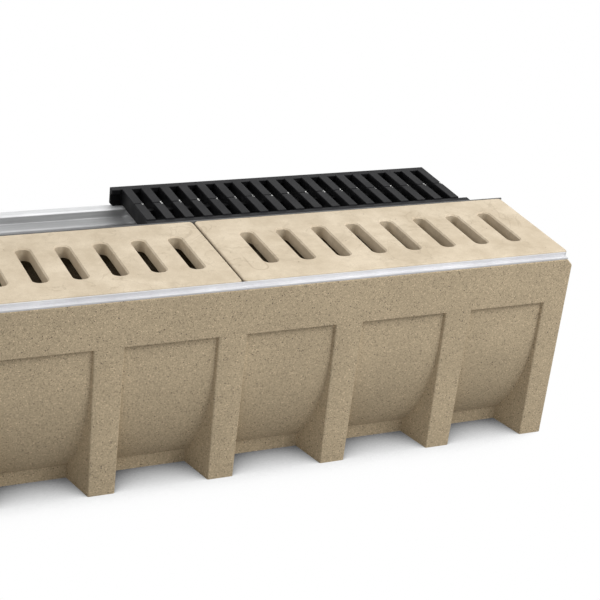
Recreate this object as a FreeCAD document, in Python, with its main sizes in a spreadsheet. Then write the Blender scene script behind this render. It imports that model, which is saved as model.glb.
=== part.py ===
"""Channel drain: a cast polymer-concrete channel with slotted stone covers over its deep trough,
and a galvanised gutter with a cast-iron bar grating along its back.

Frame: +X along the channel, +Y from the front wall to the back, +Z up; the origin is on the ground,
under the middle of the channel.  Millimetres.
"""
import FreeCAD, Part
import math
import os
import Sketcher

os.makedirs("parts", exist_ok=True)
doc = FreeCAD.newDocument("channel_drain")

# ---------------------------------------------------------------- driving dimensions
SIZES = [
    # the casting
    ("channel_length", 1000.0), ("channel_width", 338.0), ("wall_top", 278.0),
    ("trough_axis", 105.0),          # middle of the deep trough, from the front face
    ("front_lip", 7.5),              # thickness of the lip in front of the covers
    ("seat_level", 266.0),           # concrete under the cover seats
    ("panel_top", 214.4), ("panel_recess", 4.5),
    ("spring_level", 173.0),         # where the curved part of the trough begins
    ("base_half_width", 53.5), ("base_height", 19.6),
    ("trough_half_width", 75.0), ("trough_floor", 30.0),
    ("step_position", 202.7), ("shelf_top", 254.0), ("shelf_underside", 173.0),
    ("joint_chamfer", 9.0),
    # ribs
    ("rib_spacing", 164.5), ("rib_count", 5), ("rib_width_top", 38.9), ("rib_taper", 0.454),
    ("rib_flare", 0.2784), ("rib_reach", 60.0), ("end_rib_width", 35.9),
    ("back_rib_swell", 7.0), ("back_rib_start", 150.0),
    ("rib_edge_radius", 2.0),
    # steel rails
    ("rail_sheet", 2.0), ("rail_top", 285.0), ("rail_seat_width", 22.5), ("rail_edge_gap", 0.8),
    ("front_rail_inset", 8.5),
    # covers
    ("cover_gap", 1.0), ("cover_top", 286.0), ("cover_edge_radius", 3.5), ("cover_corner_radius", 6.0),
    ("cover_end_gap", 3.3), ("cover_joint", 2.0), ("left_cover_length", 507.4),
    ("left_slot_count", 9), ("left_slot_pitch", 51.2), ("left_slot_margin", 55.0),
    ("right_slot_count", 8), ("right_slot_pitch", 52.7), ("right_slot_margin", 57.55),
    ("slot_width", 19.0), ("slot_length", 99.0), ("slot_corner", 8.0), ("slot_mouth_bevel", 2.0),
    ("slot_taper", 4.0),             # the slots widen downwards, so that grit falls through
    # gutter
    ("gutter_setback", 66.0), ("gutter_sheet", 2.0),
    ("gutter_flange_half", 67.0), ("gutter_upper_half", 53.0), ("gutter_lower_half", 31.0),
    ("gutter_top", 256.0), ("gutter_ledge", 243.0), ("gutter_floor", 200.0),
    ("gutter_bend_radius", 1.5), ("gutter_clearance", 0.5), ("gutter_seat_bevel", 2.0),
    # grating
    ("grating_end_gap", 56.0), ("grating_length", 500.0), ("grating_width", 133.5),
    ("grating_rim_shift", 6.0),      # the two rims stand out at opposite ends, to lock end to end
    ("grating_depth", 29.0), ("grating_rim_width", 12.0),
    ("grating_rim_flange", 7.0), ("grating_rim_web", 5.0), ("grating_rim_chamfer", 4.0),
    ("bar_count", 18), ("bar_pitch", 27.7), ("bar_width", 13.0), ("bar_foot_width", 8.0),
    ("bar_depth", 25.0), ("bar_overlap", 1.0), ("tread_height", 1.5), ("tread_mid_gap", 2.0),
    ("spine_width", 8.0), ("spine_height", 14.0), ("spine_drop", 9.0),
]
sheet = doc.addObject("Spreadsheet::Sheet", "Sizes")
for row, (alias, value) in enumerate(SIZES, start=1):
    sheet.set(f"A{row}", alias)
    sheet.set(f"B{row}", repr(value))
    sheet.setAlias(f"B{row}", alias)
doc.recompute()


class Size:
    """A size with its value and the spreadsheet expression it comes from."""

    def __init__(self, value, text):
        self.value, self.text = float(value), text

    def _join(self, other, sign, value):
        text = other.text if isinstance(other, Size) else repr(other)
        return Size(value, f"({self.text} {sign} {text})")

    def __add__(self, other):
        return self._join(other, "+", self.value + number(other))

    def __sub__(self, other):
        return self._join(other, "-", self.value - number(other))

    def __mul__(self, other):
        return self._join(other, "*", self.value * number(other))

    def __truediv__(self, other):
        return self._join(other, "/", self.value / number(other))

    def __neg__(self):
        return Size(-self.value, f"(0 - {self.text})")


def number(thing):
    return thing.value if isinstance(thing, Size) else float(thing)


size = {alias: Size(value, f"Sizes.{alias}") for alias, value in SIZES}
ZERO = Size(0.0, "0")

NEAR = 1e-4          # two lengths closer than this, in mm, are the same place
CUT_VOLUME = 1.0     # a cut that takes less than this, in mm3, has missed the body

# lengths and places that follow from the sizes above
front_rail_length = size["channel_length"] - size["front_rail_inset"] * 2
right_cover_start = size["cover_end_gap"] + size["left_cover_length"] + size["cover_joint"]
cover_length = {
    "left": size["left_cover_length"],
    "right": size["channel_length"] - right_cover_start - size["cover_end_gap"],
}
cover_start = {"left": size["cover_end_gap"], "right": right_cover_start}
gutter_axis = size["channel_width"] - size["gutter_flange_half"]
gutter_length = size["channel_length"] - size["gutter_setback"]
grating_middle_x = size["channel_length"] / 2 - size["grating_end_gap"] - size["grating_length"] / 2
grating_middle_y = size["channel_width"] - size["grating_width"] / 2


def along(position):
    """X of a place measured from the left end of the channel."""
    return position - size["channel_length"] / 2


def across(position):
    """Y of a place measured from the front face of the channel."""
    return position - size["channel_width"] / 2


# ---------------------------------------------------------------- helpers
def new_body(name):
    body = doc.addObject("PartDesign::Body", name)
    body.Label = name
    return body


def origin_item(body, role):
    return next(item for item in body.Origin.OriginFeatures if item.Role == role)


def new_sketch(body, name, role, level=None):
    sketch = body.newObject("Sketcher::SketchObject", name)
    sketch.AttachmentSupport = (origin_item(body, role), [""])
    sketch.MapMode = "FlatFace"
    if level is not None:
        sketch.AttachmentOffset = FreeCAD.Placement(FreeCAD.Vector(0, 0, level.value), FreeCAD.Rotation())
        sketch.setExpression("AttachmentOffset.Base.z", level.text)
    return sketch


def bind(sketch, kind, geometry, point, length):
    """Places one point of the sketch from the origin by a bound length."""
    index = sketch.addConstraint(Sketcher.Constraint(kind, -1, 1, geometry, point, length.value))
    sketch.setExpression(f"Constraints[{index}]", length.text)


def outline(sketch, corners, arcs=None):
    """Closed outline through the corners; arcs maps a side's number to the centre of its ellipse.

    Every corner is placed by two bound lengths.  A curved side is an arc of an upright ellipse,
    point(t) = centre + b cos(t) up - a sin(t) across.  One of its corners lies at the level of the
    centre and gives the half width a; the other one then gives the half height b.
    """
    arcs = arcs or {}
    count = len(corners)
    points = [FreeCAD.Vector(x.value, y.value, 0) for x, y in corners]
    ends, exposed = [], []
    for side in range(count):
        start, end = points[side], points[(side + 1) % count]
        if side not in arcs:
            index = sketch.addGeometry(Part.LineSegment(start, end), False)
            ends.append((index, 1, 2))
            continue
        centre = FreeCAD.Vector(arcs[side][0].value, arcs[side][1].value, 0)
        shoulder, foot = (start, end) if abs(start.y - centre.y) < NEAR else (end, start)
        a = abs(shoulder.x - centre.x)
        b = abs(foot.y - centre.y) / (1 - ((foot.x - centre.x) / a) ** 2) ** 0.5
        ellipse = Part.Ellipse(centre + FreeCAD.Vector(0, b, 0), centre - FreeCAD.Vector(a, 0, 0), centre)
        t_start, t_end = ellipse.parameter(start), ellipse.parameter(end)
        forward = (t_end - t_start) % (2 * math.pi) < math.pi
        pair = (t_start, t_end) if forward else (t_end, t_start)
        index = sketch.addGeometry(Part.ArcOfEllipse(ellipse, pair[0], pair[1]), False)
        ends.append((index, 1, 2) if forward else (index, 2, 1))
        exposed.append((index, arcs[side]))
    for side in range(count):
        here, there = ends[side], ends[(side + 1) % count]
        sketch.addConstraint(Sketcher.Constraint("Coincident", here[0], here[2], there[0], there[1]))
    for (x, y), (index, start, _) in zip(corners, ends):
        bind(sketch, "DistanceX", index, start, x)
        bind(sketch, "DistanceY", index, start, y)
    for index, centre in exposed:
        bind(sketch, "DistanceX", index, 3, centre[0])
        bind(sketch, "DistanceY", index, 3, centre[1])
        major = sketch.GeometryCount
        sketch.exposeInternalGeometry(index)
        sketch.addConstraint(Sketcher.Constraint("Vertical", major))


def pad(body, name, sketch, length=None, midplane=False, reverse=False):
    feature = body.newObject("PartDesign::Pad", name)
    feature.Profile = sketch
    if length is not None:
        feature.Length = length.value
        feature.setExpression("Length", length.text)
    feature.Midplane = midplane
    feature.Reversed = reverse
    sketch.Visibility = False
    return feature


def pocket(body, name, sketch, depth=None, upward=False, taper=None):
    """Cuts the sketch to a depth, or right through the body both ways, and makes sure that it did cut."""
    doc.recompute()
    before = body.Shape.Volume
    feature = body.newObject("PartDesign::Pocket", name)
    feature.Profile = sketch
    feature.Reversed = upward
    if depth is None:
        feature.Type = "ThroughAll"
        feature.Midplane = True
    else:
        feature.setExpression("Length", depth.text)
    if taper is not None:
        feature.setExpression("TaperAngle", taper.text)
    sketch.Visibility = False
    doc.recompute()
    if before - body.Shape.Volume < CUT_VOLUME:
        raise RuntimeError(f"{name} cuts nothing")
    return feature


def repeat(body, name, features, count, pitch, role="X_Axis"):
    pattern = body.newObject("PartDesign::LinearPattern", name)
    pattern.Originals = features
    pattern.Direction = (origin_item(body, role), [""])
    pattern.Occurrences = int(count.value)
    pattern.setExpression("Occurrences", count.text)
    span = pitch * (count - 1)
    pattern.Length = span.value
    pattern.setExpression("Length", span.text)
    body.Tip = pattern
    return pattern


def place(body, x, y, z):
    body.Placement = FreeCAD.Placement(FreeCAD.Vector(x.value, y.value, z.value), FreeCAD.Rotation())
    for axis, length in (("x", x), ("y", y), ("z", z)):
        body.setExpression(f"Placement.Base.{axis}", length.text)


# ---------------------------------------------------------------- channel body
def make_channel_body():
    """One casting: ribbed U trough in front, and a ribbed shelf behind it for the gutter."""
    body = new_body("channel_body")
    body.AllowCompound = True
    axis = across(size["trough_axis"])
    front, back = across(ZERO), across(size["channel_width"])
    foot_front, foot_back = axis - size["base_half_width"], axis + size["base_half_width"]
    panel_front = front + size["panel_recess"]
    panel_back = axis + size["trough_axis"] - size["panel_recess"]
    lip = front + size["front_lip"]
    step = across(size["step_position"])
    centre = (axis, size["spring_level"])

    # ribs: the flanks flare towards the trough and draw in again to the back
    reach = front + size["rib_reach"]
    root = across(size["back_rib_start"])
    flare, swell = size["rib_reach"] * size["rib_flare"], size["back_rib_swell"]
    half_head = size["rib_width_top"] / 2

    first_rib = -(size["rib_spacing"] * (size["rib_count"] - 1) / 2)
    plan = new_sketch(body, "rib_plan", "XY_Plane")
    outline(plan, [
        (first_rib - half_head, front), (first_rib + half_head, front),
        (first_rib + half_head + flare, reach), (first_rib + half_head + swell, root),
        (first_rib + half_head, back), (first_rib - half_head, back),
        (first_rib - half_head - swell, root), (first_rib - half_head - flare, reach),
    ])
    rib = pad(body, "rib", plan, size["panel_top"])
    doc.recompute()
    repeat(body, "ribs", [rib], size["rib_count"], size["rib_spacing"])

    end, width = size["channel_length"] / 2, size["end_rib_width"]
    end_plan = new_sketch(body, "end_rib_plan", "XY_Plane")
    outline(end_plan, [
        (end - width, front), (end, front), (end, back), (end - width, back),
        (end - width - swell, root), (end - width - flare, reach),
    ])
    end_rib = pad(body, "end_rib", end_plan, size["panel_top"])
    doc.recompute()
    end_ribs = body.newObject("PartDesign::Mirrored", "end_ribs")
    end_ribs.Originals = [end_rib]
    end_ribs.MirrorPlane = (origin_item(body, "YZ_Plane"), [""])
    body.Tip = end_ribs
    doc.recompute()

    # the flanks taper down to the foot, as they must to leave the mould
    flanks, head = [], None
    for index, face in enumerate(end_ribs.Shape.Faces, start=1):
        normal = face.normalAt(0, 0)
        if normal.z > 0.9:
            head = f"Face{index}"
        elif abs(normal.z) < NEAR and abs(normal.x) > 0.1:     # upright and turned along the channel
            if abs(face.BoundBox.Center.x) < end.value - NEAR:
                flanks.append(f"Face{index}")
    taper = body.newObject("PartDesign::Draft", "rib_taper")
    taper.Base = (end_ribs, flanks)
    taper.NeutralPlane = (end_ribs, [head])
    taper.setExpression("Angle", size["rib_taper"].text)
    taper.Reversed = True
    body.Tip = taper
    doc.recompute()

    # the casting joins them: panel, trough shell, foot and shelf in one section
    section = new_sketch(body, "section", "YZ_Plane")
    outline(section, [
        (foot_front, ZERO), (foot_front, size["base_height"]), (panel_front, size["spring_level"]),
        (panel_front, size["panel_top"]), (front, size["panel_top"]), (front, size["wall_top"]),
        (lip, size["wall_top"]), (lip, size["seat_level"]), (step, size["seat_level"]),
        (step, size["shelf_top"]), (back, size["shelf_top"]), (back, size["shelf_underside"]),
        (panel_back, size["spring_level"]), (foot_back, size["base_height"]), (foot_back, ZERO),
    ], arcs={1: centre, 12: centre})
    casting = pad(body, "casting", section, size["channel_length"], midplane=True)
    body.Tip = casting
    doc.recompute()

    # soft arrises down the front of the ribs
    edges = []
    for index, edge in enumerate(body.Shape.Edges, start=1):
        low, high = sorted((v.Point for v in edge.Vertexes), key=lambda p: p.z)
        on_front = abs(low.y - front.value) < NEAR and abs(high.y - front.value) < NEAR
        inside = abs(low.x) < end.value - NEAR
        if on_front and inside and high.z - low.z > size["panel_top"].value / 2:
            edges.append(f"Edge{index}")
    arris = body.newObject("PartDesign::Fillet", "rib_arrises")
    arris.Base = (casting, edges)
    arris.setExpression("Radius", size["rib_edge_radius"].text)
    body.Tip = arris

    # the deep trough
    inner_front, inner_back = axis - size["trough_half_width"], axis + size["trough_half_width"]
    trough = new_sketch(body, "trough_section", "YZ_Plane")
    outline(trough, [
        (inner_front, size["wall_top"]), (inner_front, size["spring_level"]),
        (axis, size["trough_floor"]),
        (inner_back, size["spring_level"]), (inner_back, size["wall_top"]),
    ], arcs={1: centre, 2: centre})
    pocket(body, "trough", trough)

    # the stepped seat that the gutter lies in
    middle, gap, sheet_ = across(gutter_axis), size["gutter_clearance"], size["gutter_sheet"]
    upper, lower = size["gutter_upper_half"] + sheet_ + gap, size["gutter_lower_half"] + sheet_ + gap
    ledge, floor = size["gutter_ledge"] - sheet_ - gap, size["gutter_floor"] - sheet_ - gap
    top, shelf, bevel = size["wall_top"], size["shelf_top"], size["gutter_seat_bevel"]
    seat = new_sketch(body, "gutter_seat_section", "YZ_Plane")
    outline(seat, [
        (middle - upper - bevel, top), (middle - upper - bevel, shelf), (middle - upper, shelf - bevel),
        (middle - upper, ledge), (middle - lower, ledge), (middle - lower, floor),
        (middle + lower, floor), (middle + lower, ledge), (middle + upper, ledge),
        (middle + upper, shelf - bevel), (middle + upper + bevel, shelf), (middle + upper + bevel, top),
    ])
    pocket(body, "gutter_seat", seat)

    # past the gutter's closed end the shelf is cut down to a landing
    landing_plan = new_sketch(body, "landing_plan", "XY_Plane", floor)
    past, near = along(gutter_length + sheet_ + gap), middle - upper
    outline(landing_plan, [(past, near), (end, near), (end, back), (past, back)])
    pocket(body, "landing", landing_plan, top - floor, upward=True)

    # chamfered joint corners at both ends of the front lip
    cut = size["joint_chamfer"]
    corner = new_sketch(body, "joint_corners", "XZ_Plane")
    outline(corner, [(end - cut, top), (end, top - cut), (end, top)])
    outline(corner, [(-end + cut, top), (-end, top), (-end, top - cut)])
    pocket(body, "joint_chamfers", corner)
    return body


# ---------------------------------------------------------------- steel rails
def make_front_rail():
    """Folded edge rail: a leg over the lip, an upstand beside the covers and a seat under them."""
    body = new_body("front_rail")
    face = across(size["front_lip"])
    thick = size["rail_sheet"]
    inner = face + thick
    seat_end = face + size["rail_seat_width"]
    outer = across(size["rail_edge_gap"])
    section = new_sketch(body, "front_rail_section", "YZ_Plane")
    outline(section, [
        (outer, size["wall_top"]), (outer, size["wall_top"] + thick), (face, size["wall_top"] + thick),
        (face, size["rail_top"]), (inner, size["rail_top"]), (inner, size["seat_level"] + thick),
        (seat_end, size["seat_level"] + thick), (seat_end, size["seat_level"]),
        (face, size["seat_level"]), (face, size["wall_top"]),
    ])
    pad(body, "front_rail_length_pad", section, front_rail_length, midplane=True)
    return body


def make_centre_rail():
    """Angle between the covers and the grating: its seat carries the back edge of the covers."""
    body = new_body("centre_rail")
    thick = size["rail_sheet"]
    face = across(size["trough_axis"] * 2 - size["front_lip"])
    inner = face - thick
    seat_end = face - size["rail_seat_width"]
    section = new_sketch(body, "centre_rail_section", "YZ_Plane")
    outline(section, [
        (seat_end, size["seat_level"]), (seat_end, size["seat_level"] + thick),
        (inner, size["seat_level"] + thick), (inner, size["rail_top"]), (face, size["rail_top"]),
        (face, size["seat_level"]),
    ])
    pad(body, "centre_rail_length_pad", section, size["channel_length"], midplane=True)
    return body


# ---------------------------------------------------------------- slotted covers
def make_cover(side):
    """Cast stone slab with a row of round-cornered slots and soft edges."""
    body = new_body(f"cover_slab_{side}")
    length, start = cover_length[side], cover_start[side]
    count, pitch = size[f"{side}_slot_count"], size[f"{side}_slot_pitch"]
    inset = size["front_lip"] + size["rail_sheet"] + size["cover_gap"]
    width = size["trough_axis"] * 2 - inset * 2
    thickness = size["cover_top"] - size["seat_level"] - size["rail_sheet"]
    half_length, half_width = length / 2, width / 2

    plan = new_sketch(body, f"{side}_slab_plan", "XY_Plane")
    outline(plan, [(-half_length, -half_width), (half_length, -half_width),
                   (half_length, half_width), (-half_length, half_width)])
    slab = pad(body, f"{side}_slab", plan, thickness)
    doc.recompute()
    corners = [f"Edge{i}" for i, edge in enumerate(slab.Shape.Edges, start=1)
               if edge.BoundBox.ZLength > thickness.value / 2]
    rounded = body.newObject("PartDesign::Fillet", f"{side}_slab_corners")
    rounded.Base = (slab, corners)
    rounded.setExpression("Radius", size["cover_corner_radius"].text)
    doc.recompute()
    arris = [f"Edge{i}" for i, edge in enumerate(rounded.Shape.Edges, start=1)
             if edge.BoundBox.ZMin > thickness.value / 2]
    rim = body.newObject("PartDesign::Fillet", f"{side}_slab_arris")
    rim.Base = (rounded, arris)
    rim.setExpression("Radius", size["cover_edge_radius"].text)
    body.Tip = rim

    middle = start + half_length
    first = size[f"{side}_slot_margin"] - half_length
    half_slot, half_run, round_ = size["slot_width"] / 2, size["slot_length"] / 2, size["slot_corner"]
    slot = new_sketch(body, f"{side}_slot_plan", "XY_Plane", thickness)
    round_slot(slot, first, half_slot, half_run, round_)
    cut = pocket(body, f"{side}_slot", slot, thickness, taper=size["slot_taper"])
    slots = repeat(body, f"{side}_slots", [cut], count, pitch)
    doc.recompute()

    # bevelled mouths let the slots shed grit
    mouths = [f"Edge{i}" for i, edge in enumerate(body.Shape.Edges, start=1)
              if abs(edge.BoundBox.ZMin - thickness.value) < NEAR
              and abs(edge.BoundBox.YMin) < half_run.value + NEAR
              and edge.BoundBox.XLength < half_slot.value * 2
              and edge.BoundBox.YLength < half_run.value * 2]
    lips = body.newObject("PartDesign::Chamfer", f"{side}_slot_mouths")
    lips.Base = (slots, mouths)
    lips.setExpression("Size", size["slot_mouth_bevel"].text)
    body.Tip = lips
    place(body, along(middle), across(size["trough_axis"]), size["seat_level"] + size["rail_sheet"])
    return body


def round_slot(sketch, middle, half_width, half_run, radius):
    """Rectangle with four tangent corner arcs, centred on (middle, 0)."""
    x, r = middle.value, radius.value
    w, l = half_width.value, half_run.value
    V = FreeCAD.Vector
    lines = [((x - w + r, -l), (x + w - r, -l)), ((x + w, -l + r), (x + w, l - r)),
             ((x + w - r, l), (x - w + r, l)), ((x - w, l - r), (x - w, -l + r))]
    arcs = [(x + w - r, -l + r, -90), (x + w - r, l - r, 0),
            (x - w + r, l - r, 90), (x - w + r, -l + r, 180)]
    line_ids, arc_ids = [], []
    for start, end in lines:
        line_ids.append(sketch.addGeometry(Part.LineSegment(V(*start, 0), V(*end, 0)), False))
    for cx, cy, a0 in arcs:
        circle = Part.Circle(V(cx, cy, 0), V(0, 0, 1), r)
        arc = Part.ArcOfCircle(circle, math.radians(a0), math.radians(a0 + 90))
        arc_ids.append(sketch.addGeometry(arc, False))
    C = Sketcher.Constraint
    for i in range(4):
        sketch.addConstraint(C("Tangent", line_ids[i], 2, arc_ids[i], 1))
        sketch.addConstraint(C("Tangent", arc_ids[i], 2, line_ids[(i + 1) % 4], 1))
    sketch.addConstraint(C("Horizontal", line_ids[0]))
    sketch.addConstraint(C("Vertical", line_ids[1]))
    sketch.addConstraint(C("Horizontal", line_ids[2]))
    sketch.addConstraint(C("Vertical", line_ids[3]))
    for i in range(3):
        sketch.addConstraint(C("Equal", arc_ids[i], arc_ids[i + 1]))
    index = sketch.addConstraint(C("Radius", arc_ids[0], r))
    sketch.setExpression(f"Constraints[{index}]", radius.text)
    bind(sketch, "DistanceY", line_ids[0], 1, -half_run)
    bind(sketch, "DistanceY", line_ids[2], 1, half_run)
    bind(sketch, "DistanceX", line_ids[1], 1, middle + half_width)
    bind(sketch, "DistanceX", line_ids[3], 1, middle - half_width)


# ---------------------------------------------------------------- gutter
def gutter_steps():
    middle = across(gutter_axis)
    halves = size["gutter_flange_half"], size["gutter_upper_half"], size["gutter_lower_half"]
    levels = size["gutter_top"], size["gutter_ledge"], size["gutter_floor"]
    return middle, halves, levels


def make_gutter():
    """Galvanised sheet folded into a stepped gutter; its flanges lie on the casting."""
    body = new_body("gutter")
    middle, (flange, upper, lower), (top, ledge, floor) = gutter_steps()
    thick = size["gutter_sheet"]
    inside = [(flange, top), (upper, top), (upper, ledge), (lower, ledge), (lower, floor)]
    outside = [(lower + thick, floor - thick), (lower + thick, ledge - thick),
               (upper + thick, ledge - thick), (upper + thick, top - thick), (flange, top - thick)]
    corners = [(middle + half, level) for half, level in inside]
    corners += [(middle - half, level) for half, level in reversed(inside)]
    corners += [(middle - half, level) for half, level in reversed(outside)]
    corners += [(middle + half, level) for half, level in outside]
    section = new_sketch(body, "gutter_section", "YZ_Plane", along(ZERO))
    outline(section, corners)
    sheet_pad = pad(body, "gutter_sheet_pad", section, gutter_length)
    doc.recompute()

    # the folds: tight inside, one sheet thickness more outside
    def fold_edges(shape, wanted):
        found = []
        for index, edge in enumerate(shape.Edges, start=1):
            box = edge.BoundBox
            if box.XLength < gutter_length.value / 2:      # only the edges that run along the gutter
                continue
            for half, level in wanted:
                at_side = abs(abs(box.YMin - middle.value) - half.value) < NEAR
                if at_side and abs(box.ZMin - level.value) < NEAR:
                    found.append(f"Edge{index}")
        return found

    tight = [(upper, ledge), (lower, floor), (upper + thick, top - thick), (lower + thick, ledge - thick)]
    wide = [(upper, top), (lower, ledge), (upper + thick, ledge - thick), (lower + thick, floor - thick)]
    base = sheet_pad
    for name, wanted, radius in (("inner_folds", tight, size["gutter_bend_radius"]),
                                 ("outer_folds", wide, size["gutter_bend_radius"] + thick)):
        fold = body.newObject("PartDesign::Fillet", name)
        fold.Base = (base, fold_edges(body.Shape, wanted))
        fold.setExpression("Radius", radius.text)
        doc.recompute()
        base = fold
    body.Tip = base
    return body


def make_gutter_end():
    """Plate that closes the gutter under the grating."""
    body = new_body("gutter_end_plate")
    middle, (_, upper, lower), (top, ledge, floor) = gutter_steps()
    thick = size["gutter_sheet"]
    wide, narrow = upper + thick, lower + thick
    plan = new_sketch(body, "end_plate_section", "YZ_Plane", along(gutter_length))
    outline(plan, [
        (middle - wide, top - thick), (middle - wide, ledge - thick), (middle - narrow, ledge - thick),
        (middle - narrow, floor - thick), (middle + narrow, floor - thick),
        (middle + narrow, ledge - thick), (middle + wide, ledge - thick), (middle + wide, top - thick),
    ])
    pad(body, "end_plate", plan, thick)
    return body


# ---------------------------------------------------------------- grating
def make_grating():
    """Cast-iron grating: two angle rims, tapered bars with raised treads and a spine below them.

    Local frame: X along the rims from the grating's middle, Y from its middle, Z from its underside.
    """
    body = new_body("iron_grating")
    body.AllowCompound = True
    half_width, depth = size["grating_width"] / 2, size["grating_depth"]
    face = depth - size["tread_height"]                     # rims and bars, below the treads
    rim_in = half_width - size["grating_rim_width"]
    web_in = half_width - size["grating_rim_web"]
    under = face - size["grating_rim_flange"]

    shift = size["grating_rim_shift"]
    for name, toward, offset in (("front_rim", -1, shift), ("back_rim", 1, -shift)):
        rim = new_sketch(body, f"{name}_section", "YZ_Plane", offset)
        corners = [(rim_in, face), (half_width, face), (half_width, ZERO), (web_in, ZERO),
                   (web_in, under), (rim_in, under)]
        outline(rim, [(y * toward, z) for y, z in corners])
        pad(body, name, rim, size["grating_length"], midplane=True)
        doc.recompute()

    # bars run between the rims and end a little inside them
    first = -(size["bar_pitch"] * (size["bar_count"] - 1) / 2)
    half_bar, half_foot = size["bar_width"] / 2, size["bar_foot_width"] / 2
    foot = face - size["bar_depth"]
    bar_sketch = new_sketch(body, "bar_section", "XZ_Plane")
    outline(bar_sketch, [(first - half_bar, face), (first - half_foot, foot),
                         (first + half_foot, foot), (first + half_bar, face)])
    run = (web_in + size["bar_overlap"]) * 2
    bar = pad(body, "bar", bar_sketch, run, midplane=True)

    # raised treads: two on each bar, apart at the middle and stopping at the rims
    tread_sketch = new_sketch(body, "tread_plan", "XY_Plane", face)
    tread_in = size["tread_mid_gap"] / 2
    for near, far in ((tread_in, rim_in), (-rim_in, -tread_in)):
        outline(tread_sketch, [(first - half_bar, near), (first + half_bar, near),
                               (first + half_bar, far), (first - half_bar, far)])
    tread = pad(body, "tread", tread_sketch, size["tread_height"])
    doc.recompute()
    repeat(body, "bars", [bar, tread], size["bar_count"], size["bar_pitch"])
    doc.recompute()

    # spine under the middle of the bars
    half_spine, top = size["spine_width"] / 2, face - size["spine_drop"]
    spine_sketch = new_sketch(body, "spine_section", "YZ_Plane")
    outline(spine_sketch, [(-half_spine, top), (-half_spine, top - size["spine_height"]),
                           (half_spine, top - size["spine_height"]), (half_spine, top)])
    span = size["bar_pitch"] * (size["bar_count"] - 1)
    spine = pad(body, "spine", spine_sketch, span, midplane=True)
    doc.recompute()

    # lower corners of the rim webs are nicked off
    nicked = [f"Edge{i}" for i, edge in enumerate(body.Shape.Edges, start=1)
              if edge.BoundBox.ZMax < NEAR and edge.BoundBox.XLength < NEAR]
    nicks = body.newObject("PartDesign::Chamfer", "web_nicks")
    nicks.Base = (spine, nicked)
    nicks.setExpression("Size", size["grating_rim_chamfer"].text)
    body.Tip = nicks
    place(body, grating_middle_x, across(grating_middle_y), size["gutter_top"])
    return body


pieces = [make_channel_body(), make_front_rail(), make_centre_rail(), make_cover("left"),
          make_cover("right"), make_gutter(), make_gutter_end(), make_grating()]
doc.recompute()

# ---------------------------------------------------------------- checks and export
for item in doc.Objects:
    if "Invalid" in item.State or "Error" in item.State:
        raise RuntimeError(f"{item.Name}: {item.State}")
    if item.TypeId == "Sketcher::SketchObject" and not item.FullyConstrained:
        print(f"{item.Name} is not fully constrained")
for piece in pieces:
    shape = piece.Shape
    if shape.isNull() or not shape.isValid():
        raise RuntimeError(f"{piece.Label} has no valid shape")
    box = shape.BoundBox
    print(f"{piece.Label}: {len(shape.Solids)} solid, {shape.Volume / 1e6:.3f} litres, "
          f"X {box.XMin:.1f}..{box.XMax:.1f}, Y {box.YMin:.1f}..{box.YMax:.1f}, "
          f"Z {box.ZMin:.1f}..{box.ZMax:.1f}")
    shape.exportStep(f"parts/{piece.Label}.step")
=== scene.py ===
# %% [markdown]
# # A channel drain
# The drain is a heavy casting of sand and resin.  Two slotted stone covers lie over its deep trough
# in folded steel rails, and a galvanised gutter with an iron grating lies along its back.
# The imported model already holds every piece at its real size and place, so this script gives the
# pieces their soft edges, worn faces and finishes, and then lights them plainly.

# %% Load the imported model
import math

import bmesh
import bpy
import numpy as np
from mathutils import Matrix, Vector


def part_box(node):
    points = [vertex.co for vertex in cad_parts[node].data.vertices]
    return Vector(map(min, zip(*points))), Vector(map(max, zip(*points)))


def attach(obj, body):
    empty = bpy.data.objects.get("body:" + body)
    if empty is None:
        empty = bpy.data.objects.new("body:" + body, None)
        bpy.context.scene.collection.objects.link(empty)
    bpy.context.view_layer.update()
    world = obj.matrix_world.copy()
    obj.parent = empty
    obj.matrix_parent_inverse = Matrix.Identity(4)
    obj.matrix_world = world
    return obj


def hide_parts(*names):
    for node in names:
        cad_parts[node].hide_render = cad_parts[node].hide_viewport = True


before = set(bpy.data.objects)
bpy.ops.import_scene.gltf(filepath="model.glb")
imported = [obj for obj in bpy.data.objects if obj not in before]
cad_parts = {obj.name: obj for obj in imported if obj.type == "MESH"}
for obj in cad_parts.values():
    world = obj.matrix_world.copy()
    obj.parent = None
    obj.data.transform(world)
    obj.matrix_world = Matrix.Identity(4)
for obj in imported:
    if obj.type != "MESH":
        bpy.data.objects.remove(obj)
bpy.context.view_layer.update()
MM = 0.001
print("nodes:", ", ".join(sorted(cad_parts)))

# %% [markdown]
# ## Short ways to build a finish
# A finish is a small graph of nodes.  `put` adds one node and fills its inputs in the same line, so
# that a finish reads like a recipe.  Every pattern is measured on Object coordinates, in metres, so a
# grain of sand has its real size and stays on the piece from every side.


# %% Start of a finish
def new_finish(name, roughness, metallic=0.0, specular=0.5):
    """Material with its tree, its main shader and the piece's own coordinates."""
    material = bpy.data.materials.new(name)
    material.use_nodes = True
    tree = material.node_tree
    shader = tree.nodes["Principled BSDF"]
    shader.inputs["Roughness"].default_value = roughness
    shader.inputs["Metallic"].default_value = metallic
    shader.inputs["Specular IOR Level"].default_value = specular
    return material, tree, shader, tree.nodes.new("ShaderNodeTexCoord").outputs["Object"]


def put(tree, kind, values=None, **settings):
    """Adds a node; values sets an input to a number, or links it to another node's output."""
    item = tree.nodes.new("ShaderNode" + kind)
    for key, value in settings.items():
        setattr(item, key, value)
    for key, value in (values or {}).items():
        if isinstance(value, bpy.types.NodeSocket):
            tree.links.new(value, item.inputs[key])
        else:
            item.inputs[key].default_value = value
    return item


print("finish starter ready")

# %% [markdown]
# ## Sums and blends
# Wear and dirt are drawn with masks: numbers from 0 to 1 that say how much of a mark lies at a point.
# A mask is made from the place of the point with a few sums, and then decides how much pigment is
# blended into the colour below it.  Painted pictures could do the same, but would need unwrapped
# pieces, and would blur close up.


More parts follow.
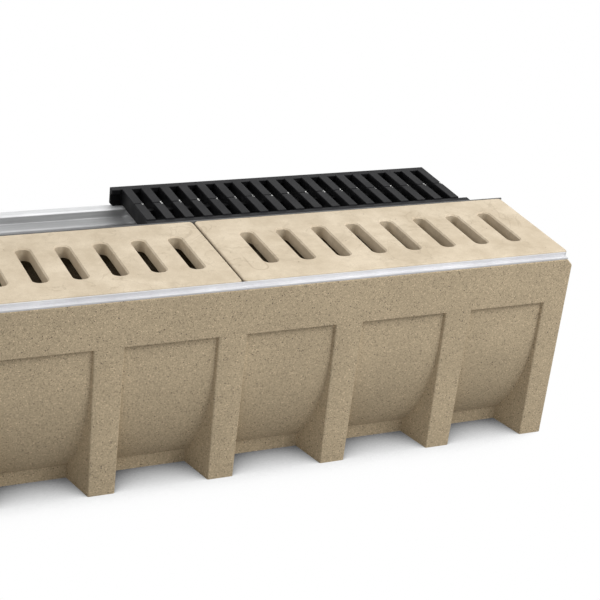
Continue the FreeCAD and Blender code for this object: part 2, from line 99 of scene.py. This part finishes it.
# %% Sums and blends
def ramp(tree, value, low, high, start=0.0, end=1.0):
    """Straight ramp: start below low, end above high."""
    values = {"Value": value, "From Min": low, "From Max": high, "To Min": start, "To Max": end}
    return put(tree, "MapRange", values).outputs[0]


def math_node(tree, operation, first, second=0.0):
    """One sum of first and second, named as Blender names it."""
    return put(tree, "Math", {0: first, 1: second}, operation=operation).outputs[0]


def apart(tree, value, level):
    """How far value is from level, either way."""
    return math_node(tree, "ABSOLUTE", math_node(tree, "SUBTRACT", value, level))


def sum_of_squares(tree, first, second):
    """first times first, plus second times second."""
    squares = [math_node(tree, "MULTIPLY", value, value) for value in (first, second)]
    return math_node(tree, "ADD", *squares)


def blend(tree, amount, first, second):
    """first where amount is 0, second where it is 1."""
    item = put(tree, "Mix", {0: amount}, data_type="RGBA")
    for index, colour in ((6, first), (7, second)):
        if isinstance(colour, bpy.types.NodeSocket):
            tree.links.new(colour, item.inputs[index])
        else:
            item.inputs[index].default_value = (*colour, 1.0)
    return item.outputs[2]


def tinge(tree, colour, mask, share, pigment):
    """colour, with that share of pigment where mask is 1."""
    return blend(tree, math_node(tree, "MULTIPLY", mask, share), colour, pigment)


print("sums and blends ready")

# %% [markdown]
# ## Patterns
# Most of the finishes share a soft noise for clouds and stains, round specks for stones and pores, and
# a relief, which shades a surface as if it were rough without moving it.  The specks are cells of a
# Voronoi pattern, of which a share is chosen by their random colour.


# %% Patterns
def noise(tree, place, grain, detail=4.0, roughness=0.55, distortion=0.0):
    """Soft noise from 0 to 1 whose features are about grain metres wide."""
    values = {"Vector": place, "Scale": 1.0 / grain, "Detail": detail, "Roughness": roughness,
              "Distortion": distortion}
    return put(tree, "TexNoise", values).outputs[0]


def specks(tree, place, spacing, share, radius):
    """1 in scattered round grains: the nearest cell centre lies within radius, in share of the cells."""
    cells = put(tree, "TexVoronoi", {"Vector": place, "Scale": 1.0 / spacing})
    near = ramp(tree, cells.outputs["Distance"], 0.7 * radius / spacing, radius / spacing, 1.0, 0.0)
    lot = put(tree, "SeparateColor", {0: cells.outputs["Color"]}).outputs[0]
    chosen = math_node(tree, "LESS_THAN", lot, share)
    return math_node(tree, "MULTIPLY", near, chosen)


def relief(tree, shader, height, depth, strength=1.0):
    """Shades the surface as if it were raised by height times depth metres."""
    bump = put(tree, "Bump", {"Height": height, "Distance": depth, "Strength": strength})
    tree.links.new(bump.outputs[0], shader.inputs["Normal"])


print("patterns ready")

# %% [markdown]
# ## Polymer concrete
# The casting is quartz sand bound with resin, struck from a smooth mould.  Close up it is a beige
# ground packed with grains: most are a shade lighter or darker, some are brown and some nearly
# white, and a few have left open pits.  A noise would give clouds, so each grain is one cell of a
# Voronoi pattern, and a stepped colour ramp deals every cell one colour of sand.


# %% Grains of sand
def grains(tree, place, width, palette):
    """One flat colour for each cell width across; palette lists (share of the cells, colour)."""
    cell = put(tree, "TexVoronoi", {"Vector": place, "Scale": 1.0 / width}).outputs["Color"]
    lot = put(tree, "SeparateColor", {0: cell}).outputs[0]
    deal = put(tree, "ValToRGB", {0: lot})
    steps = deal.color_ramp
    steps.interpolation = "CONSTANT"
    start = 0.0
    for index, (share, colour) in enumerate(palette):
        step = steps.elements[index] if index < 2 else steps.elements.new(start)
        step.position, step.color = start, (*colour, 1.0)
        start += share
    return deal.outputs[0], lot


print("sand grains ready")

# %% [markdown]
# ## Inside of the trough
# The inside of the trough is painted nearly black, as painted shade, so it looks dark through the slots.  It
# is one piece with the outside, so the finish has to tell the two apart by place: a point is inside where it
# lies in the trough's section, an ellipse below its shoulders with straight walls above them.


# %% Concrete of the casting
def in_trough(tree, place, axis, spring, half_width, floor_level, skin=2 * MM):
    """1 inside the ellipse about the line y = axis, z = spring, and between the walls above it.

    The section is taken skin wider, so that the trough's own surface lies inside.
    """
    axes = put(tree, "SeparateXYZ", {0: place}).outputs
    out = math_node(tree, "DIVIDE", math_node(tree, "SUBTRACT", axes[1], axis), half_width + skin)
    drop = math_node(tree, "MAXIMUM", math_node(tree, "SUBTRACT", spring, axes[2]), 0.0)
    down = math_node(tree, "DIVIDE", drop, spring - floor_level + skin)
    return ramp(tree, sum_of_squares(tree, out, down), 0.99, 1.01, 1.0, 0.0)


def polymer_concrete(**trough):
    """Sandy casting, painted nearly black inside the trough as painted shade; trough gives the section's
    sizes.
    """
    material, tree, shader, place = new_finish("polymer_concrete", 0.88, specular=0.2)
    sand = np.array([0.480, 0.386, 0.258])
    palette = [(0.05, sand * 0.32), (0.20, sand * 0.80), (0.28, sand * 0.96), (0.27, sand * 1.06),
               (0.15, sand * 1.20), (0.05, sand * 1.65)]
    colour, lot = grains(tree, place, 1.2 * MM, palette)
    fine, _ = grains(tree, place, 0.8 * MM, [(0.25, sand * 0.66), (0.5, sand), (0.25, sand * 1.34)])
    colour = blend(tree, 0.40, colour, fine)
    shade = ramp(tree, noise(tree, place, 110 * MM), 0.30, 0.72, 0.93, 1.06)
    colour = put(tree, "VectorMath", {0: colour, "Scale": shade}, operation="SCALE").outputs[0]
    pale = specks(tree, place, 6.0 * MM, 0.30, 0.95 * MM)
    colour = tinge(tree, colour, pale, 0.65, (0.80, 0.72, 0.57))
    pits = specks(tree, place, 6.0 * MM, 0.42, 0.95 * MM)
    colour = tinge(tree, colour, pits, 0.90, (0.050, 0.035, 0.025))
    # painted shade: the inside of the trough is darkened nearly to black
    colour = tinge(tree, colour, in_trough(tree, place, **trough), 0.62, (0.050, 0.040, 0.028))
    tree.links.new(colour, shader.inputs["Base Color"])
    height = math_node(tree, "SUBTRACT", math_node(tree, "MULTIPLY", lot, 0.5), pits)
    relief(tree, shader, height, 0.30 * MM, 0.6)
    return material


concrete = polymer_concrete(axis=-64 * MM, spring=173 * MM, half_width=75 * MM, floor_level=30 * MM)
print("made", concrete.name)

# %% [markdown]
# ## Marks on the covers
# Use leaves two marks on the covers, and a third is painted shade.  Thin cracks wander over the faces: each
# is the line along which a noise passes its middle value.  One cover has a shallow scratch in the shape of a
# slot's end, as if another cover had stood on it.  And the covers' sides are darkened low down, in the
# joints, as painted shade.


# %% Marks on the covers
def hairlines(tree, place, size, width, patch):
    """1 on thin wandering lines, the middle value of a noise size metres wide; patch leaves most out."""
    line = noise(tree, place, size, 5.0, 0.5, distortion=1.4)
    thin = ramp(tree, apart(tree, line, 0.5), 0.0, width, 1.0, 0.0)
    return math_node(tree, "MULTIPLY", thin, ramp(tree, noise(tree, place, 80 * MM, 2.0), patch, patch + 0.1))


def scratch(tree, place, centre, radius, width):
    """1 near a half circle before centre, and near its two straight tails, which fade out to the back."""
    axes = put(tree, "SeparateXYZ", {0: place}).outputs
    side = math_node(tree, "SUBTRACT", axes[0], centre[0])
    run = math_node(tree, "MINIMUM", math_node(tree, "SUBTRACT", axes[1], centre[1]), 0.0)
    reach = math_node(tree, "SQRT", sum_of_squares(tree, side, run))
    near = ramp(tree, apart(tree, reach, radius), 0.3 * width, width, 1.0, 0.0)
    length = ramp(tree, axes[1], centre[1] + 26 * MM, centre[1] + 40 * MM, 1.0, 0.0)
    return math_node(tree, "MULTIPLY", near, length)


def painted_joint_shade(tree, place, boxes, depth=2.6 * MM):
    """1 from 3 mm below the covers' tops down, within depth of any side of the boxes."""
    axes = put(tree, "SeparateXYZ", {0: place}).outputs
    top = boxes[0][1][2]
    low = ramp(tree, axes[2], top - 3.0 * MM, top - 1.0 * MM, 1.0, 0.0)
    beside = 0.0
    for axis in (0, 1):
        for side in sorted({round(corner[axis], 6) for box in boxes for corner in box}):
            near = math_node(tree, "LESS_THAN", apart(tree, axes[axis], side), depth)
            beside = math_node(tree, "MAXIMUM", beside, near)
    return math_node(tree, "MULTIPLY", low, beside)


print("marks ready")

# %% [markdown]
# ## Cover stone
# The covers are cast in a finer, paler mix and troweled.  Their faces carry faint clouds and stains,
# a fine grain and small pores, and the marks above.  The layers are blended one over the other, from
# the widest to the smallest, so each can be changed by itself.


# %% Cover stone
def cover_stone(boxes):
    """Pale troweled stone; boxes are the covers' boxes, whose sides get painted shade in the joints."""
    material, tree, shader, place = new_finish("cover_stone", 0.74, specular=0.2)
    cloud = noise(tree, place, 50 * MM, 7.0, 0.66)
    colour = blend(tree, ramp(tree, cloud, 0.36, 0.66), (0.575, 0.480, 0.352), (0.735, 0.632, 0.485))
    smudge = noise(tree, place, 1 / 26, 6.0, 0.7, distortion=0.8)  # 26 to the metre
    colour = tinge(tree, colour, ramp(tree, smudge, 0.54, 0.72), 0.42, (0.430, 0.355, 0.255))
    grain = noise(tree, place, 1.6 * MM, 3.0, 0.78)
    colour = tinge(tree, colour, ramp(tree, grain, 0.34, 0.68), 0.34, (0.420, 0.345, 0.240))
    hair = math_node(tree, "MAXIMUM", hairlines(tree, place, size=95 * MM, width=0.010, patch=0.47),
                     hairlines(tree, place, size=40 * MM, width=0.014, patch=0.58))
    colour = tinge(tree, colour, hair, 0.30, (0.300, 0.235, 0.155))
    # painted shade: the covers' sides are darkened low down, in the joints
    colour = tinge(tree, colour, painted_joint_shade(tree, place, boxes), 0.72, (0.10, 0.08, 0.06))
    mark = scratch(tree, place, centre=(48 * MM, -122 * MM), radius=11 * MM, width=1.8 * MM)
    colour = tinge(tree, colour, mark, 0.34, (0.330, 0.255, 0.170))
    pores = specks(tree, place, 13.0 * MM, 0.16, 1.2 * MM)
    colour = tinge(tree, colour, pores, 0.65, (0.170, 0.120, 0.075))
    tree.links.new(colour, shader.inputs["Base Color"])
    raised = math_node(tree, "ADD", grain, math_node(tree, "MULTIPLY", cloud, 2.0))
    cut = math_node(tree, "ADD", math_node(tree, "ADD", pores, hair), mark)
    relief(tree, shader, math_node(tree, "SUBTRACT", raised, cut), 0.30 * MM, 0.6)
    return material


stone = cover_stone([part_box(node) for node in ("cover_slab_left", "cover_slab_right")])
print("made", stone.name)

# %% [markdown]
# ## Galvanised steel
# The rails and the gutter are zinc-coated sheet.  Zinc is a soft grey, and rolling leaves streaks
# that run along the sheet, so the noise is stretched along X.  The front rail is bright.  The
# gutter's walls are darker below its flanges, and the angle behind the covers is painted dark as
# painted shade.


# %% Galvanised steel
def galvanised_steel(name, dull, bright, roughness, metallic, darker_band=None):
    """Streaked zinc between two greys; roughness is the least and the most.

    tarnish is (lowest, highest, share): between those two levels the zinc is darker by that share.
    """
    material, tree, shader, place = new_finish(name, roughness[0], metallic=metallic, specular=0.25)
    long_way = put(tree, "Mapping", {"Vector": place, "Scale": (0.04, 1.0, 1.0)}).outputs[0]
    streak = noise(tree, long_way, 4.0 * MM)
    bloom = noise(tree, place, 50 * MM, 3.0)
    shares = [math_node(tree, "MULTIPLY", part, share) for part, share in ((streak, 0.6), (bloom, 0.4))]
    even = ramp(tree, math_node(tree, "ADD", *shares), 0.34, 0.66)
    colour = blend(tree, even, dull, bright)
    if darker_band:
        lowest, highest, share = darker_band
        level = put(tree, "SeparateXYZ", {0: place}).outputs[2]
        between = math_node(tree, "MULTIPLY", math_node(tree, "GREATER_THAN", level, lowest),
                            math_node(tree, "LESS_THAN", level, highest))
        colour = tinge(tree, colour, between, share, (0.02, 0.02, 0.02))
    tree.links.new(colour, shader.inputs["Base Color"])
    tree.links.new(ramp(tree, even, 0.0, 1.0, roughness[1], roughness[0]), shader.inputs["Roughness"])
    relief(tree, shader, streak, 0.04 * MM, 0.25)
    return material


gutter_bottom, gutter_top = (corner[2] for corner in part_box("gutter"))
rail_zinc = galvanised_steel("rail_zinc", (0.60, 0.60, 0.615), (0.78, 0.78, 0.79), (0.46, 0.58), 0.65)
# painted shade: the angle behind the covers is painted dark grey
painted_shade_angle_zinc = galvanised_steel("painted_shade_angle_zinc", (0.13, 0.13, 0.13), (0.22, 0.22, 0.22), (0.55, 0.65), 0.40)
# the gutter's wall is darker between two levels below its flanges
gutter_zinc = galvanised_steel("gutter_zinc", (0.60, 0.605, 0.61), (0.78, 0.785, 0.79), (0.56, 0.68), 0.40,
                               darker_band=(gutter_bottom + 4 * MM, gutter_top - 2.5 * MM, 0.42))
print("made", rail_zinc.name, painted_shade_angle_zinc.name, gutter_zinc.name)

# %% [markdown]
# ## Black iron
# The grating is cast iron dipped in black.  The skin is finely pebbled.  Its worn tops are paler than
# its sides, partly from a little dust and partly as painted light.  On each bar a painted highlight,
# pale as bare metal, sits at the right top edge, beside the joint of the two treads.


# %% Black iron
def painted_glints(tree, place, box, bar_count, bar_pitch, bar_width):
    """1 in ragged patches at the right top edge of each bar, beside the joint of its treads."""
    low, high = box
    first_pitch = (low[0] + high[0]) / 2 - bar_count * bar_pitch / 2
    tread_joint = (low[1] + high[1]) / 2 - 1 * MM
    axes = put(tree, "SeparateXYZ", {0: place}).outputs
    pitches = math_node(tree, "DIVIDE", math_node(tree, "SUBTRACT", axes[0], first_pitch), bar_pitch)
    off_edge = apart(tree, math_node(tree, "FRACT", pitches), 0.5 + 0.5 * bar_width / bar_pitch)
    at_edge = math_node(tree, "LESS_THAN", off_edge, 0.085)  # in pitches
    at_joint = math_node(tree, "LESS_THAN", apart(tree, axes[1], tread_joint), 4.2 * MM)
    on_top = math_node(tree, "GREATER_THAN", axes[2], high[2] - 5.5 * MM)
    ragged = math_node(tree, "GREATER_THAN", noise(tree, place, 3.2 * MM, 3.0), 0.50)
    return math_node(tree, "MULTIPLY", math_node(tree, "MULTIPLY", at_edge, at_joint),
                     math_node(tree, "MULTIPLY", on_top, ragged))


def black_iron(box, **bars):
    """Pebbled black coating, paler on the tops; bars gives their count, pitch and width."""
    material, tree, shader, place = new_finish("black_iron", 0.55, specular=0.16)
    skin = noise(tree, place, 1.6 * MM, 3.0, 0.65)
    dust = ramp(tree, noise(tree, place, 45 * MM), 0.42, 0.72)
    dusty_and_lit_tops = blend(tree, dust, (0.004, 0.004, 0.005), (0.014, 0.014, 0.015))
    level = put(tree, "SeparateXYZ", {0: place}).outputs[2]
    # tops paler than sides: partly a little dust, partly painted light
    tops = math_node(tree, "GREATER_THAN", level, box[1][2] - 2.2 * MM)
    colour = blend(tree, tops, (0.0035, 0.0035, 0.004), dusty_and_lit_tops)
    # painted highlight: pale patches at the right top edge of each bar
    colour = blend(tree, painted_glints(tree, place, box, **bars), colour, (0.62, 0.62, 0.60))
    tree.links.new(colour, shader.inputs["Base Color"])
    tree.links.new(ramp(tree, dust, 0.0, 1.0, 0.48, 0.66), shader.inputs["Roughness"])
    relief(tree, shader, skin, 0.25 * MM, 0.5)
    return material


iron = black_iron(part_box("iron_grating"), bar_count=18, bar_pitch=27.7 * MM, bar_width=13.0 * MM)
print("made", iron.name)

# %% [markdown]
# ## Cast pieces with soft edges
# Nothing cast leaves its mould with knife edges.  The model's faces are exact but its edges are
# sharp, so each cast piece is a copy of its node.  In the casting and the grating the triangles of a
# flat are merged, and a Bevel modifier rounds edges by their weight.  The casting's outer edges wear
# round, while its inner corners and the edges it stands on stay sharp.  The grating's corners are
# rounded half as much as its edges.  The covers keep their triangles and the edges of the model, and
# are only shaded smooth.  A bevel leaves the flats where they are, which a subdivision surface would
# not.


# %% Soft-edged copies
def merged_mesh(node, inner, merge_flats, sharpest=math.radians(24)):
    """Copy of the node's mesh, with a bevel weight of 1 on outer edges and of inner in its corners.

    merge_flats makes each flat one face.  An edge that turns less than sharpest is smooth and has no
    weight, and neither has an edge that stands on the floor.
    """
    weld = 0.002 * MM  # corners nearer than this are one
    flat = math.radians(0.4)  # faces that turn less than this are one flat
    contact = 0.01 * MM  # an edge lower than this stands on the floor
    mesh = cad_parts[node].data.copy()
    mesh.name = node + "_cast"
    form = bmesh.new()
    form.from_mesh(mesh)
    bmesh.ops.remove_doubles(form, verts=form.verts, dist=weld)
    if merge_flats:
        bmesh.ops.dissolve_limit(form, angle_limit=flat, verts=form.verts, edges=form.edges)
    weight = form.edges.layers.float.new("bevel_weight_edge")
    for edge in form.edges:
        turn = edge.calc_face_angle_signed(0.0) if len(edge.link_faces) == 2 else 0.0
        edge.smooth = abs(turn) < sharpest
        on_floor = all(end.co.z < contact for end in edge.verts)
        edge[weight] = 0.0 if edge.smooth or on_floor else (1.0 if turn > 0 else inner)
    for face in form.faces:
        face.smooth = True
    form.to_mesh(mesh)
    form.free()
    return mesh


def cast_copy(node, finish, radius=0.0, inner=0.0, merge_flats=True):
    """Stands for the node: outer edges are rounded to radius, corners to inner times radius."""
    mesh = merged_mesh(node, inner, merge_flats)
    mesh.materials.clear()
    mesh.materials.append(finish)
    piece = bpy.data.objects.new(node + "_cast", mesh)
    bpy.context.collection.objects.link(piece)
    if radius > 0:
        bevel = piece.modifiers.new("soft edges", "BEVEL")
        bevel.width, bevel.segments = radius, 2
        bevel.limit_method = "WEIGHT"
        bevel.use_clamp_overlap = False
        bevel.harden_normals = True
    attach(piece, "root")
    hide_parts(node)
    print(piece.name, len(mesh.polygons), "faces")


cast_copy("channel_body", concrete, 1.8 * MM)
cast_copy("cover_slab_left", stone, merge_flats=False)
cast_copy("cover_slab_right", stone, merge_flats=False)
cast_copy("iron_grating", iron, 0.7 * MM, inner=0.5)

# %% [markdown]
# ## Steel pieces
# The folded rails, the gutter and its end plate are already exact in the model, so those nodes stay
# and only get their finish.

# %% Finish of the steel
finish_of = {"front_rail": rail_zinc, "centre_rail": painted_shade_angle_zinc,
             "gutter": gutter_zinc, "gutter_end_plate": gutter_zinc}
for node, finish in finish_of.items():
    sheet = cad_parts[node]
    sheet.data.materials.clear()
    sheet.data.materials.append(finish)
    print(node, "in", finish.name)

# %% [markdown]
# ## Floor
# The drain stands on a white sheet, which is darker only where the drain stands close over it.  An
# Ambient Occlusion node measures how open the floor is at each point, and a ramp makes shade or white
# of that, so the edge of the shade is soft whatever the lamps are.  For light that comes back up from
# it the sheet is a mid grey, or the undersides of the casting would lose their shade.


# %% Floor
def make_floor(radius=6.0, shade_reach=220 * MM):
    """White sheet twice radius wide, shaded where the drain is within shade_reach of it."""
    corners = [(-radius, -radius, 0), (radius, -radius, 0), (radius, radius, 0), (-radius, radius, 0)]
    mesh = bpy.data.meshes.new("floor")
    mesh.from_pydata(corners, [], [(0, 1, 2, 3)])
    floor = bpy.data.objects.new("floor", mesh)
    bpy.context.collection.objects.link(floor)
    material = bpy.data.materials.new("floor_white")
    material.use_nodes = True
    tree = material.node_tree
    tree.nodes.clear()
    seen = put(tree, "LightPath").outputs["Is Camera Ray"]
    paint = put(tree, "BsdfDiffuse", {"Color": (0.42, 0.42, 0.42, 1)})
    openness = put(tree, "AmbientOcclusion", {"Distance": shade_reach}).outputs["AO"]
    strength = ramp(tree, openness, 0.17, 0.57, 0.02, 1.0)
    white = put(tree, "Emission", {"Color": (1, 1, 1, 1), "Strength": strength})
    mixed = put(tree, "MixShader", {0: seen, 1: paint.outputs[0], 2: white.outputs[0]})
    put(tree, "OutputMaterial", {"Surface": mixed.outputs[0]})
    mesh.materials.append(material)
    print("floor", 2 * radius, "m wide")


make_floor()

# %% [markdown]
# ## World and lamps
# An even white sky at about half strength fills the shade.  A large lamp above the front right gives
# the form, and a small one on the left lightens that side.  By Light Path the camera, reflections and
# anything clear see the sky as plain white, while the fill keeps its own strength.


# %% World and lamps
def make_world(fill=0.52):
    """Even fill for the object, and plain white for the camera, reflections and anything clear."""
    world = bpy.data.worlds.new("white room")
    bpy.context.scene.world = world
    world.use_nodes = True
    tree = world.node_tree
    tree.nodes.clear()
    path = put(tree, "LightPath").outputs
    direct = math_node(tree, "MAXIMUM", path["Is Camera Ray"], path["Is Transmission Ray"])
    plain = math_node(tree, "MAXIMUM", direct, path["Is Glossy Ray"])
    strength = ramp(tree, plain, 0.0, 1.0, fill, 1.0)
    light = put(tree, "Background", {"Color": (1, 1, 1, 1), "Strength": strength})
    put(tree, "OutputWorld", {"Surface": light.outputs[0]})


def make_lamp(name, place, aim, size, power):
    """Square lamp at place, turned towards aim; size in metres, power in watts."""
    lamp = bpy.data.lights.new(name, "AREA")
    lamp.shape, lamp.size, lamp.energy = "SQUARE", size, power
    holder = bpy.data.objects.new(name, lamp)
    bpy.context.collection.objects.link(holder)
    holder.location = place
    holder.rotation_euler = (Vector(aim) - Vector(place)).to_track_quat("-Z", "Y").to_euler()


make_world()
make_lamp("overhead", place=(1.25, -1.25, 2.3), aim=(0.1, 0.0, 0.2), size=1.5, power=56.0)
make_lamp("left_side", place=(-1.7, 0.35, 1.6), aim=(-0.1, 0.0, 0.28), size=0.7, power=9.0)
print("world and", len(bpy.data.lights), "lamps made")

# %% [markdown]
# ## Camera
# A long lens from the front left, which looks down on the covers.  Its heading, tilt and roll are given as
# angles, and the three axes of the camera follow from them.

# %% Camera
scene = bpy.context.scene
heading, tilt, roll = (math.radians(angle) for angle in (26.505, 25.871, 6.600))
ahead = Vector((math.sin(heading) * math.cos(tilt), math.cos(heading) * math.cos(tilt), -math.sin(tilt)))
level = Vector((math.cos(heading), -math.sin(heading), 0.0))
above = level.cross(ahead)
across = level * math.cos(roll) + above * math.sin(roll)
upward = above * math.cos(roll) - level * math.sin(roll)
lens = bpy.data.cameras.new("camera")
lens.lens, lens.sensor_width = 94.12, 36.0
camera = bpy.data.objects.new("camera", lens)
scene.collection.objects.link(camera)
turn = Matrix((across, upward, -ahead)).transposed()
camera.matrix_world = Matrix.Translation((-0.7201, -1.7890, 1.1340)) @ turn.to_4x4()
scene.camera = camera
scene.view_settings.view_transform = "Standard"
print("lens", lens.lens, "mm")
